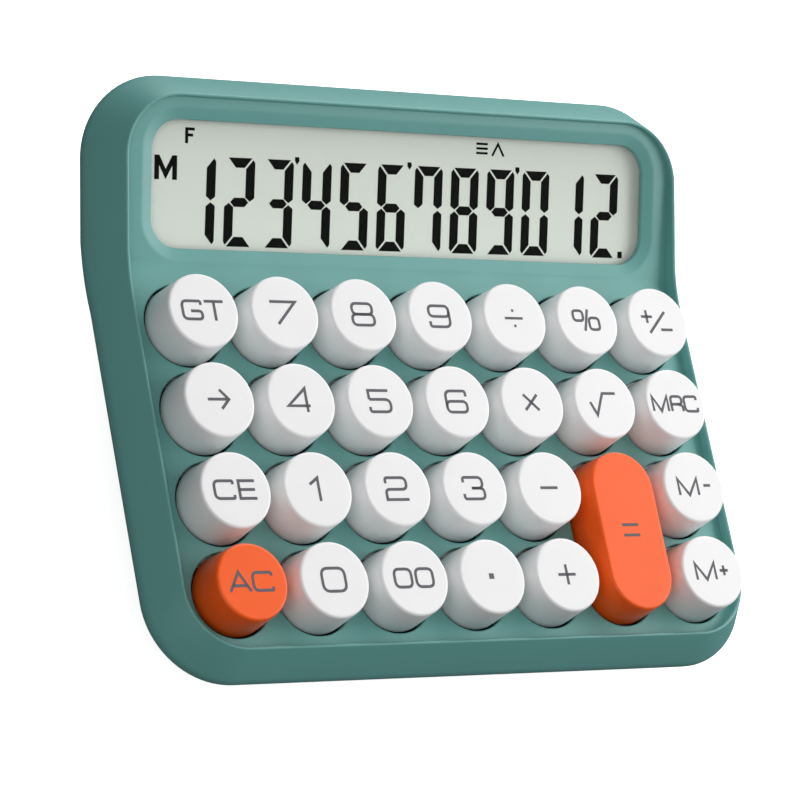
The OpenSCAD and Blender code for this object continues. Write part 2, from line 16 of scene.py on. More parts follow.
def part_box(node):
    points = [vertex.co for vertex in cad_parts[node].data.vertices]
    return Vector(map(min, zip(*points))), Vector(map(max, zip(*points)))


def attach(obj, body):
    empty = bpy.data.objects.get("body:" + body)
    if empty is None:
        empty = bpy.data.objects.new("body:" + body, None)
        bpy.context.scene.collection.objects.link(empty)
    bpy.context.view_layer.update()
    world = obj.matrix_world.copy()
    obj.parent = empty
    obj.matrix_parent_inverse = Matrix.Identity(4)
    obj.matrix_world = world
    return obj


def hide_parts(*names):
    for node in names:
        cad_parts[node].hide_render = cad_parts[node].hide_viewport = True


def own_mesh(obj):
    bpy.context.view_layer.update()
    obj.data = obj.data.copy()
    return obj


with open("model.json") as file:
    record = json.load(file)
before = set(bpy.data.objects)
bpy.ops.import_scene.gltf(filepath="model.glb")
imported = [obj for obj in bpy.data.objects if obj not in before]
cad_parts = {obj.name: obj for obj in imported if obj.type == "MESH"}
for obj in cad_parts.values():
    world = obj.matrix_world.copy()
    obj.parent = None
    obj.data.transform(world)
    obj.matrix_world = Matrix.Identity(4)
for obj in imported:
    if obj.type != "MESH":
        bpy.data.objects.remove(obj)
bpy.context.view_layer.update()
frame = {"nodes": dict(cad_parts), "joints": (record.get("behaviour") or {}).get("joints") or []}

MM = 0.001

# Keys
CAP_RISE = 8.6
SKIRT_Z = -0.9
CAP_WALL = 1.2
CAP_EDGE = 0.6
CAP_DRAFT = 0.058
CAP_GAP = 0.5
GUIDE_OFFSET = 10.5
ORANGE_KEYS = ("key_equals", "key_ac")

# Case walls
LIP = 0.4
RIM_H = 2.5
WALL_DROP = 6.3
UNDER_R = 3.5
INNER_X = 1.7
BULGE = 4.8
CREST_R = 13.0
CREST_FRONT = 40.4
RIM_FOOT = -3.0
SIDE_DEEPER = 1.8
BEND_Y = 33.8
BEND_R = 38.5
BEND_ANGLE = math.radians(18.9)
REAR_REACH = 36.31
DECK_T = 1.8
FOLD_Y = 41.4
FOLD_ANGLE = math.radians(22)
FOLD_BEFORE = 3.2
FOLD_AFTER = 0.8
DECK_REACH = 35.35
WINDOW_S = 17.055
WINDOW = (124.4, 26.4, 6.3)
CHAMFER_W = 2.5
CHAMFER_D = 0.8
LCD_DEPTH = 2.9

# Printing
INK_RAISE = 0.03
LEGEND_LINE = 0.62
DIGIT_PITCH = 9.37
DIGIT_W = 7.2
DIGIT_H = 18.4
DIGIT_LEFT = -53.45
DIGIT_FOOT = -12.2
DIGIT_LEAN = 0.022
DIGIT_LINE = 2.2
DISPLAYED = "123456789012"
DISPLAY_TURN = math.radians(0.38)
DISPLAY_SHIFT = 0.12


# --- Frames ---


def deck_frame():
    """The key deck's frame, from the keys' travel and from where the corner keys stand."""
    press = next(j for j in frame["joints"] if j["child"] == "key_5")
    right = Vector((1, 0, 0))
    out = -Vector(press["axis"]).normalized()
    turn = Matrix((right, out.cross(right), out)).transposed()
    tops = []
    for name in ("key_gt", "key_m_plus"):
        local = [turn.transposed() @ v.co for v in frame["nodes"][name].data.vertices]
        low = [min(v[i] for v in local) for i in range(3)]
        high = [max(v[i] for v in local) for i in range(3)]
        tops.append(Vector(((low[0] + high[0]) / 2, (low[1] + high[1]) / 2, high[2])))
    middle = (tops[0] + tops[1]) / 2 - Vector((0, 0, CAP_RISE * MM))
    return Matrix.Translation(turn @ middle) @ turn.to_4x4()


DECK = deck_frame()


def key_place(name):
    """The middle of a key on the deck, the radius of its skirt, and how far it is drawn out along Y."""
    inverse = DECK.inverted()
    local = [inverse @ v.co / MM for v in frame["nodes"][name].data.vertices]
    x = [v.x for v in local]
    y = [v.y for v in local]
    radius = (max(x) - min(x)) / 2
    span = (max(y) - min(y)) - 2 * radius
    return (max(x) + min(x)) / 2, (max(y) + min(y)) / 2, radius, span if span > 1 else 0.0


KEYS = {name: key_place(name) for name in frame["nodes"] if name.startswith("key_") and name != "key_board"}
BASE_R = KEYS["key_5"][2] + CAP_DRAFT * SKIRT_Z
OPENING_R = BASE_R + CAP_GAP
CREST_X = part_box("front_case")[1].x / MM - BULGE


def rim_line(c):
    """The rim's own bend: where the deck plane's height goes at a length c along it, and its slope."""
    reach = BEND_R * math.tan(BEND_ANGLE / 2)
    if c <= BEND_Y:
        return Vector((c, 0)), 0.0
    if c >= BEND_Y + 2 * reach:
        s = c - BEND_Y - reach
        return Vector((BEND_Y + reach + s * math.cos(BEND_ANGLE), s * math.sin(BEND_ANGLE))), BEND_ANGLE
    a = (c - BEND_Y) / (2 * reach) * BEND_ANGLE
    return Vector((BEND_Y + BEND_R * math.sin(a), BEND_R * (1 - math.cos(a)))), a


def deck_line(c):
    """The fold between the decks, as a soft curve that touches both planes."""
    s = c - FOLD_Y
    rise = Vector((math.cos(FOLD_ANGLE), math.sin(FOLD_ANGLE)))
    if s <= -FOLD_BEFORE:
        return Vector((c, 0)), 0.0
    if s >= FOLD_AFTER:
        return Vector((FOLD_Y, 0)) + s * rise, FOLD_ANGLE
    t = (s + FOLD_BEFORE) / (FOLD_BEFORE + FOLD_AFTER)
    start = Vector((-FOLD_BEFORE, 0))
    point = (1 - t) ** 2 * start + t**2 * FOLD_AFTER * rise
    slope = t * FOLD_AFTER * rise - (1 - t) * start
    return Vector((FOLD_Y, 0)) + point, math.atan2(slope.y, slope.x)


def bent(line, x, c, z):
    """A point of an unfolded part, bent along a line."""
    (y, height), a = line(c)
    return Vector((x, y - z * math.sin(a), height + z * math.cos(a)))


DISPLAY = (DECK @ Matrix.Translation(bent(deck_line, 0, FOLD_Y + WINDOW_S, 0) * MM)
           @ Matrix.Rotation(FOLD_ANGLE, 4, "X"))


# --- Materials ---


def new_material(name):
    """A node material with its own shader, and the nodes and links that its patterns are built from."""
    material = bpy.data.materials.new(name)
    material.use_nodes = True
    nodes = material.node_tree.nodes
    return material, nodes, material.node_tree.links, nodes["Principled BSDF"]


def noise(nodes, links, scale, detail=3.0):
    """A noise pattern in the object's own space; scale is in cycles per metre."""
    place = nodes.new("ShaderNodeTexCoord")
    pattern = nodes.new("ShaderNodeTexNoise")
    pattern.inputs["Scale"].default_value = scale
    pattern.inputs["Detail"].default_value = detail
    links.new(place.outputs["Object"], pattern.inputs["Vector"])
    return pattern.outputs["Fac"]


def varied(nodes, links, pattern, low, high, socket):
    """Spreads a pattern between two values, or two colours, on a shader's socket."""
    if isinstance(low, tuple):
        ramp = nodes.new("ShaderNodeValToRGB")
        ramp.color_ramp.elements[0].position = 0.3
        ramp.color_ramp.elements[1].position = 0.7
        ramp.color_ramp.elements[0].color = (*low, 1)
        ramp.color_ramp.elements[1].color = (*high, 1)
        links.new(pattern, ramp.inputs["Fac"])
        links.new(ramp.outputs["Color"], socket)
    else:
        spread = nodes.new("ShaderNodeMapRange")
        spread.inputs["From Min"].default_value = 0.3
        spread.inputs["From Max"].default_value = 0.7
        spread.inputs["To Min"].default_value = low
        spread.inputs["To Max"].default_value = high
        links.new(pattern, spread.inputs["Value"])
        links.new(spread.outputs["Result"], socket)


def bumped(nodes, links, pattern, depth, shader):
    """Raises a pattern by a depth in metres."""
    bump = nodes.new("ShaderNodeBump")
    bump.inputs["Strength"].default_value = 1.0
    bump.inputs["Distance"].default_value = depth
    links.new(pattern, bump.inputs["Height"])
    links.new(bump.outputs["Normal"], shader.inputs["Normal"])


def moulded(name, colour, shade=0.04, rough=(0.42, 0.5), grain=9000, depth=0.000004, specular=0.4):
    """Moulded plastic or rubber: a fine spark-eroded grain, a faint drift of colour, uneven gloss."""
    material, nodes, links, shader = new_material(name)
    lighter = tuple(min(1.0, c * (1 + shade)) for c in colour)
    darker = tuple(c * (1 - shade) for c in colour)
    varied(nodes, links, noise(nodes, links, 90, 2.0), darker, lighter, shader.inputs["Base Color"])
    varied(nodes, links, noise(nodes, links, 1600), *rough, shader.inputs["Roughness"])
    bumped(nodes, links, noise(nodes, links, grain, 2.0), depth, shader)
    shader.inputs["Specular IOR Level"].default_value = specular
    return material


def plated(name, colour, rough=(0.25, 0.4), grain=4000):
    """Plated or rolled metal with fine scratches."""
    material, nodes, links, shader = new_material(name)
    varied(nodes, links, noise(nodes, links, 300), tuple(c * 0.9 for c in colour), colour,
           shader.inputs["Base Color"])
    varied(nodes, links, noise(nodes, links, grain), *rough, shader.inputs["Roughness"])
    bumped(nodes, links, noise(nodes, links, grain), 0.000003, shader)
    shader.inputs["Metallic"].default_value = 1.0
    return material


def printed_ink(name, colour, specular=0.2):
    """Printed ink: matt, with slightly uneven cover."""
    material, nodes, links, shader = new_material(name)
    varied(nodes, links, noise(nodes, links, 4000), tuple(c * 0.92 for c in colour), colour,
           shader.inputs["Base Color"])
    varied(nodes, links, noise(nodes, links, 2500), 0.5, 0.62, shader.inputs["Roughness"])
    shader.inputs["Specular IOR Level"].default_value = specular
    return material


def clear_sheet(name, colour, alpha, specular):
    """Clear acrylic: nearly all of what is behind it shows, under a faint gloss."""
    material, nodes, links, shader = new_material(name)
    varied(nodes, links, noise(nodes, links, 60), tuple(c * 0.98 for c in colour), colour,
           shader.inputs["Base Color"])
    varied(nodes, links, noise(nodes, links, 700), 0.05, 0.09, shader.inputs["Roughness"])
    shader.inputs["Alpha"].default_value = alpha
    shader.inputs["Specular IOR Level"].default_value = specular
    return material


def lcd_glass(name, colour):
    """The unlit field of the liquid crystal: flat grey-green with the faintest mottling."""
    material, nodes, links, shader = new_material(name)
    varied(nodes, links, noise(nodes, links, 40, 1.0), tuple(c * 0.985 for c in colour), colour,
           shader.inputs["Base Color"])
    varied(nodes, links, noise(nodes, links, 3000), 0.5, 0.6, shader.inputs["Roughness"])
    shader.inputs["Specular IOR Level"].default_value = 0.1
    return material


def make_materials():
    """One material for each material slot of the record, and the two inks."""
    return {
        "case_teal": moulded("case_teal", (0.125, 0.36, 0.335), 0.015, (0.4, 0.48), 9000, 0.000004, 0.6),
        "cap_white": moulded("cap_white", (0.9, 0.895, 0.9), 0.012, (0.36, 0.44), 7000, 0.000002),
        "cap_orange": moulded("cap_orange", (0.98, 0.115, 0.005), 0.02, (0.36, 0.44), 7000, 0.000002),
        "window": clear_sheet("window", (0.3, 0.32, 0.3), 0.006, 0.1),
        "lcd": lcd_glass("lcd", (0.78, 0.83, 0.755)),
        "reflector": moulded("reflector", (0.8, 0.82, 0.8)),
        "dark_plastic": moulded("dark_plastic", (0.05, 0.05, 0.055)),
        "clear_plastic": moulded("clear_plastic", (0.7, 0.72, 0.75), 0.02, (0.15, 0.25)),
        "natural_plastic": moulded("natural_plastic", (0.8, 0.8, 0.76)),
        "elastomer": moulded("elastomer", (0.6, 0.25, 0.3), 0.1, (0.6, 0.7)),
        "board": moulded("board", (0.02, 0.13, 0.06), 0.12, (0.3, 0.4), 3000),
        "epoxy": moulded("epoxy", (0.015, 0.015, 0.018), 0.05, (0.15, 0.25), 900, 0.00002),
        "ribbon": moulded("ribbon", (0.55, 0.52, 0.45)),
        "steel": plated("steel", (0.6, 0.6, 0.62)),
        "contact_metal": plated("contact_metal", (0.65, 0.45, 0.2)),
        "foot_rubber": moulded("foot_rubber", (0.03, 0.03, 0.032), 0.1, (0.7, 0.8), 2500, 0.00003),
        "cell_jacket": moulded("cell_jacket", (0.08, 0.1, 0.12), 0.1, (0.2, 0.3)),
        "lead_jacket": moulded("lead_jacket", (0.5, 0.03, 0.02)),
        "legend_ink": printed_ink("legend_ink", (0.13, 0.13, 0.145)),
        "segment_ink": printed_ink("segment_ink", (0.002, 0.002, 0.002), 0.03),
    }


MATERIALS = make_materials()


def finish_cad_nodes():
    for node in frame["nodes"].values():
        for place in node.material_slots:
            place.material = MATERIALS[place.material.name.split(".")[0]]


# --- Meshes ---


class Shape:
    """Closed shells gathered into one mesh, with points in millimetres."""

    def __init__(self):
        self.points = []
        self.faces = []

    def add(self, points, faces):
        first = len(self.points)
        self.points += [Vector(p) for p in points]
        self.faces += [[first + i for i in face] for face in faces]

    def mesh(self, name, place, sharp=32):
        mesh = bpy.data.meshes.new(name)
        mesh.from_pydata([place @ (p * MM) for p in self.points], [], self.faces)
        work = bmesh.new()
        work.from_mesh(mesh)
        bmesh.ops.recalc_face_normals(work, faces=work.faces)
        work.to_mesh(mesh)
        work.free()
        mesh.polygons.foreach_set("use_smooth", [True] * len(mesh.polygons))
        mesh.set_sharp_from_angle(angle=math.radians(sharp))
        return mesh


def piece(name, mesh, material, body, replaces=()):
    """A finished piece that rides on a CAD body."""
    made = bpy.data.objects.new(name, mesh)
    bpy.context.scene.collection.objects.link(made)
    if not mesh.materials:
        mesh.materials.append(MATERIALS[material])
    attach(made, body)
    if replaces:
        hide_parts(*replaces)
    return made


def ring_faces(rows, columns, first=0):
    """Quads between neighbouring closed rows of points."""
    faces = []
    for row in range(rows - 1):
        for i in range(columns):
            j = (i + 1) % columns
            a = first + row * columns
            faces.append([a + i, a + j, a + columns + j, a + columns + i])
    return faces


def arc(x, y, radius, start, end, steps):
    """Points round an arc, with its ends in degrees."""
    angles = [math.radians(start + (end - start) * i / steps) for i in range(steps + 1)]
    return [(x + radius * math.cos(a), y + radius * math.sin(a)) for a in angles]


def obround_loop(x, y, radius, span, steps=32):
    """A circle, or two half circles drawn apart along Y."""
    upper = arc(x, y + span / 2, radius, 0, 180, steps)
    lower = arc(x, y - span / 2, radius, 180, 360, steps)
    return upper + lower if span else upper + lower[1:-1]


def rounded_loop(x, y, width, height, radius, steps=14):
    """A rectangle with round corners, anticlockwise from its lower right corner."""
    loop = []
    for i, (sx, sy) in enumerate(((1, -1), (1, 1), (-1, 1), (-1, -1))):
        loop += arc(x + sx * (width / 2 - radius), y + sy * (height / 2 - radius), radius,
                    90 * i - 90, 90 * i, steps)
    return loop


def add_turned(shape, profile, span=0.0, x=0.0, y=0.0, steps=36):
    """A solid turned about Z from (radius, height) points, with flat ends at the first and last."""
    loops = [[(px, py, z) for px, py in obround_loop(x, y, r, span, steps)] for r, z in profile]
    columns = len(loops[0])
    last = (len(loops) - 1) * columns
    faces = ring_faces(len(loops), columns)
    faces += [list(range(columns)), list(range(last, last + columns))]
    shape.add([p for loop in loops for p in loop], faces)


# --- Front case ---


def rim_section():
    """The wall in section, as (out from the crest, height above the deck)."""
    run, fall = BULGE - UNDER_R, WALL_DROP + RIM_H - LIP
    face = math.degrees(math.acos((LIP - UNDER_R) / math.hypot(run, fall)) - math.atan2(fall, run))
    return (
        arc(0, RIM_H - LIP, LIP, 180, face, 9)
        + arc(BULGE - UNDER_R, -WALL_DROP, UNDER_R, face, -78, 14)
        + [(INNER_X, -WALL_DROP - 2), (INNER_X, RIM_FOOT - 1)]
        + [(INNER_X - 0.6, RIM_FOOT), (-LIP, RIM_FOOT)]
    )


def rim_stations(bend_steps=14, corner_steps=20):
    """Stations round the crest of the unfolded rim, as (x, c, outward x, outward c)."""
    reach = BEND_R * math.tan(BEND_ANGLE / 2)
    rear = BEND_Y + reach + REAR_REACH
    side = [BEND_Y + 2 * reach * i / bend_steps for i in range(bend_steps + 1)]
    side = [0.0, BEND_Y - 1] + side + [BEND_Y + 2 * reach + 1]
    corners = ((1, -CREST_FRONT + CREST_R), (1, rear - CREST_R), (-1, rear - CREST_R),
               (-1, -CREST_FRONT + CREST_R))
    stations = []
    for i, (sign, c) in enumerate(corners):
        x = sign * (CREST_X - CREST_R)
        for px, pc in arc(0, 0, 1, 90 * i - 90, 90 * i, corner_steps):
            stations.append((x + CREST_R * px, c + CREST_R * pc, px, pc))
        if i in (0, 2):
            run = side if i == 0 else side[::-1]
            stations += [(sign * CREST_X, s, sign, 0.0) for s in run]
    return stations


def add_rim(shape):
    section = rim_section()
    points = []
    stations = rim_stations()
    reach = 2 * BEND_R * math.tan(BEND_ANGLE / 2)
    for x, c, out_x, out_c in stations:
        past = min(1.0, max(0.0, (c - BEND_Y) / reach))
        for out, z in section:
            low = SIDE_DEEPER * past if z < RIM_FOOT else 0.0
            points.append(bent(rim_line, x + out_x * out, c + out_c * out, z - low))
    rows, columns = len(stations), len(section)
    faces = ring_faces(rows, columns)
    faces += [[(rows - 1) * columns + i, (rows - 1) * columns + (i + 1) % columns,
               (i + 1) % columns, i] for i in range(columns)]
    shape.add(points, faces)


def edge_profile(radius, depth, steps=4):
    """A rounded hole edge, as (outset from the hole, depth), with a narrow band of flat round it."""
    round_part = [(radius * (1 - math.sin(a)), radius * (1 - math.cos(a)))
                  for a in (math.pi / 2 * i / steps for i in range(steps + 1))]
    return [(radius + 0.12, 0.0)] + round_part + [(0.0, depth)]


def window_profile():
    """From the deck down the chamfer to the lens: soft outer edge, flat chamfer, small inner round."""
    slope = CHAMFER_D / CHAMFER_W
    soft = 0.45
    points = [(CHAMFER_W + soft + 0.05, 0.0), (CHAMFER_W + soft, 0.0)]
    for i in range(1, 7):
        t = i / 6
        points.append((CHAMFER_W + soft - 2 * soft * t, slope * soft * t * t))
    points.append((0.25, slope * (CHAMFER_W - 0.25)))
    points += [(0.1, CHAMFER_D - 0.03), (0.0, CHAMFER_D + 0.12), (0.0, DECK_T)]
    return points


def deck_holes():
    """Every hole in the decks, as rings of (x, c, depth) from the top face to the underside."""
    holes = []
    for x, y, radius, span in KEYS.values():
        holes.append([[(px, py, depth) for px, py in obround_loop(x, y, OPENING_R + out, span)]
                      for out, depth in edge_profile(0.3, DECK_T)])
    width, height, radius = WINDOW
    centre = FOLD_Y + WINDOW_S
    holes.append([[(px, py, depth) for px, py in
                   rounded_loop(0, centre, width + 2 * out, height + 2 * out, radius + out)]
                  for out, depth in window_profile()])
    return holes


def add_decks(shape, fold_steps=14):
    """Both decks as one plate: triangulated flat round its holes, then folded."""
    half = CREST_X - LIP + 0.5
    front = -CREST_FRONT + LIP - 0.5
    rear = FOLD_Y + DECK_REACH
    outline = rounded_loop(0, (front + rear) / 2, 2 * half, rear - front, CREST_R - LIP + 0.5)
    fold = [FOLD_Y - FOLD_BEFORE + (FOLD_BEFORE + FOLD_AFTER) * i / fold_steps
            for i in range(fold_steps + 1)]
    fold = [fold[0] - 0.06] + fold
    quarter = len(outline) // 4
    outline = (outline[:quarter] + [(half, c) for c in fold] + outline[quarter:3 * quarter]
               + [(-half, c) for c in fold[::-1]] + outline[3 * quarter:])
    holes = deck_holes()
    loops = [outline] + [[(x, c) for x, c, _ in hole[0]] for hole in holes]
    flat, edges, starts = [], [], []
    for loop in loops:
        first = len(flat)
        starts.append(first)
        flat += [Vector(p) for p in loop]
        edges += [(first + i, first + (i + 1) % len(loop)) for i in range(len(loop))]
    left = 3 * quarter + len(fold)
    for i in range(len(fold)):
        edges.append((quarter + i, left + len(fold) - 1 - i))
    _, _, triangles, originals, _, _ = delaunay_2d_cdt(flat, edges, [], 0, 1e-6)
    triangles = [[originals[v][0] for v in t] for t in triangles]
    hole_of = {}
    for k, start in enumerate(starts[1:]):
        for i in range(len(loops[k + 1])):
            hole_of[start + i] = k
    kept = [t for t in triangles
            if len({hole_of.get(v, -1 - v) for v in t}) > 1 or hole_of.get(t[0]) is None]
    points = [bent(deck_line, p.x, p.y, 0) for p in flat]
    below = []
    for i, p in enumerate(flat):
        if i in hole_of:
            ring = holes[hole_of[i]][-1]
            x, c, depth = ring[i - starts[hole_of[i] + 1]]
            below.append(bent(deck_line, x, c, -depth))
        else:
            below.append(bent(deck_line, p.x, p.y, -DECK_T))
    total = len(flat)
    points += below
    faces = kept + [[total + v for v in t][::-1] for t in kept]
    count = len(outline)
    faces += [[i, (i + 1) % count, total + (i + 1) % count, total + i] for i in range(count)]
    for k, hole in enumerate(holes):
        columns = len(hole[0])
        rows = [[starts[k + 1] + i for i in range(columns)]]
        for ring in hole[1:-1]:
            rows.append(list(range(len(points), len(points) + columns)))
            points += [bent(deck_line, x, c, -depth) for x, c, depth in ring]
        rows.append([total + v for v in rows[0]])
        for upper, lower in zip(rows, rows[1:]):
            for i in range(columns):
                j = (i + 1) % columns
                faces.append([upper[i], upper[j], lower[j], lower[i]])
    shape.add(points, faces)


def make_front_case():
    shape = Shape()
    add_rim(shape)
    add_decks(shape)
    piece("front_shell", shape.mesh("front_shell", DECK), "case_teal", "root",
          ["front_case"])


# --- Keys ---


def cap_profile():
    """Half the cap's section from the middle of its top, round the edge, and up inside the skirt."""
    tilt = math.degrees(math.atan(CAP_DRAFT))
    edge_x = BASE_R - CAP_DRAFT * (CAP_RISE - CAP_EDGE) - CAP_EDGE * 1.01
    inner_top = BASE_R - CAP_DRAFT * CAP_RISE - CAP_WALL
    outer = [(edge_x - 0.25, CAP_RISE)] + arc(edge_x, CAP_RISE - CAP_EDGE, CAP_EDGE, 90, tilt, 8)
    foot = [(BASE_R - CAP_DRAFT * (SKIRT_Z + 0.2), SKIRT_Z + 0.2),
            (BASE_R - CAP_DRAFT * SKIRT_Z - 0.12, SKIRT_Z),
            (BASE_R - CAP_WALL + 0.1, SKIRT_Z)]
    return outer + foot + [(inner_top + 0.3, CAP_RISE - 1.8), (inner_top, CAP_RISE - 1.5)]


def make_cap(name):
    x, y, _, span = KEYS[name]
    shape = Shape()
    add_turned(shape, cap_profile(), span, x, y, 48)
    add_turned(shape, [(2.75, CAP_RISE - 1.3), (2.75, 1.2), (2.55, 1.0)], 0, x, y, 16)
    if span:
        for side in (-1, 1):
            add_turned(shape, [(1.5, CAP_RISE - 1.3), (1.5, -3.3), (1.3, -3.5)], 0, x,
                       y + side * GUIDE_OFFSET, 12)
    colour = "cap_orange" if name in ORANGE_KEYS else "cap_white"
    piece("cap_" + name[4:], shape.mesh("cap_" + name[4:], DECK), colour, name, [name])


SLIDER_R = 2.95
SLIDER_COLLAR_R = 4.4
SLIDER_FOOT = -5.2
SPRING_TOP = -1.5
SPRING_FOOT = min((DECK.inverted() @ v.co).z for v in frame["nodes"]["switch_springs"].data.vertices) / MM
SPRING_R = 2.3
SPRING_WIRE = 0.16
SPRING_TURNS = 7
SPRING_STEPS = 16
SPRING_SIDES = 6


def make_slider(name):
    """The plunger of the key's switch, with its collar and the boss that the cap is pushed on to."""
    x, y, _, _ = KEYS[name]
    shape = Shape()
    body, collar, bore = SLIDER_R, SLIDER_COLLAR_R, SPRING_R + 0.15
    profile = [(1.9, 2.4), (2.05, 2.2), (2.05, 0.7), (body, 0.7), (body, -0.5), (collar, -0.5),
               (collar, -1.8), (body, -1.8), (body, SLIDER_FOOT + 0.2), (body - 0.2, SLIDER_FOOT),
               (bore, SLIDER_FOOT), (bore, SPRING_TOP + 0.05)]
    add_turned(shape, profile, 0, x, y, 16)
    piece("slider_" + name[4:], shape.mesh("slider_" + name[4:], DECK), "natural_plastic",
          name)


def make_spring(name):
    """The coil spring under the plunger, at its rest length."""
    x, y, _, _ = KEYS[name]
    height = SPRING_TOP - SPRING_FOOT
    count = SPRING_TURNS * SPRING_STEPS
    ring = SPRING_SIDES
    points = []
    for i in range(count + 1):
        a = 2 * math.pi * i / SPRING_STEPS
        z = SPRING_FOOT + SPRING_WIRE + (height - 2 * SPRING_WIRE) * i / count
        for k in range(ring):
            b = 2 * math.pi * k / ring
            r = SPRING_R - SPRING_WIRE + SPRING_WIRE * math.cos(b)
            points.append((x + r * math.cos(a), y + r * math.sin(a), z + SPRING_WIRE * math.sin(b)))
    faces = ring_faces(count + 1, ring)
    faces += [list(range(ring)), list(range(count * ring, (count + 1) * ring))]
    shape = Shape()
    shape.add(points, faces)
    title = "spring_" + name[4:]
    spring = piece(title, shape.mesh(title, DECK), "steel", "root", ["switch_springs"])
    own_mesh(spring)


# --- Printed legends ---


def softened(points, radius, closed, steps=6):
    """A line with its corners rounded."""
    count = len(points)
    smooth = []
    for i, point in enumerate(points):
        if not closed and i in (0, count - 1):
            smooth.append(Vector(point))
            continue
        here = Vector(point)
        back, ahead = Vector(points[i - 1]) - here, Vector(points[(i + 1) % count]) - here
        turn = back.angle(ahead)
        cut = min(1.25 * radius / math.tan(turn / 2), back.length * 0.47, ahead.length * 0.47)
        start, end = here + back.normalized() * cut, here + ahead.normalized() * cut
        for k in range(steps + 1):
            t = k / steps
            smooth.append(start.lerp(here, t).lerp(here.lerp(end, t), t))
    return smooth


def add_line(shape, points, closed, width, low, high):
    """A flat printed line of this width along points, as a closed shell from low to high."""
    count = len(points)
    sides = []
    for i, here in enumerate(points):
        before = points[i - 1] if closed or i else None
        after = points[(i + 1) % count] if closed or i < count - 1 else None
        into = (here - before).normalized() if before is not None else (after - here).normalized()
        out = (after - here).normalized() if after is not None else into
        across = Vector((-into.y - out.y, into.x + out.x)).normalized()
        stretch = min(2.5, 1 / max(0.2, across.dot(Vector((-into.y, into.x)))))
        sides.append((here + across * width / 2 * stretch, here - across * width / 2 * stretch))
    verts = []
    for left, right in sides:
        verts += [(*left, low), (*right, low), (*right, high), (*left, high)]
    faces = []
    for i in range(count if closed else count - 1):
        a, b = 4 * i, 4 * ((i + 1) % count)
        faces += [[a + k, a + (k + 1) % 4, b + (k + 1) % 4, b + k] for k in range(4)]
    if not closed:
        faces += [[3, 2, 1, 0], [4 * count - 4, 4 * count - 3, 4 * count - 2, 4 * count - 1]]
    shape.add(verts, faces)


def line(*points, r=0.0):
    return points, r, False


def loop(x0, y0, x1, y1, r):
    return ((x0, y0), (x1, y0), (x1, y1), (x0, y1)), r, True


def moved(strokes, dx, dy=0.0):
    return [([(x + dx, y + dy) for x, y in points], r, closed) for points, r, closed in strokes]


def turned(strokes):
    return [([(-x, -y) for x, y in points], r, closed) for points, r, closed in strokes]


LETTER_C = [line((2.1, 1.1), (2.1, 1.85), (-2.2, 1.85), (-2.2, -1.85), (2.2, -1.85), (2.2, -1.1), r=0.9)]
LETTER_M = [line((-2.55, -1.85), (-2.55, 1.85), (0, -1.85), (2.55, 1.85), (2.55, -1.85))]
NINE = [loop(-2.5, -0.05, 2.5, 2.35, 1.1),
        line((2.5, 1.2), (2.5, -2.35), (-2.5, -2.35), (-2.5, -1.15), r=1.1)]

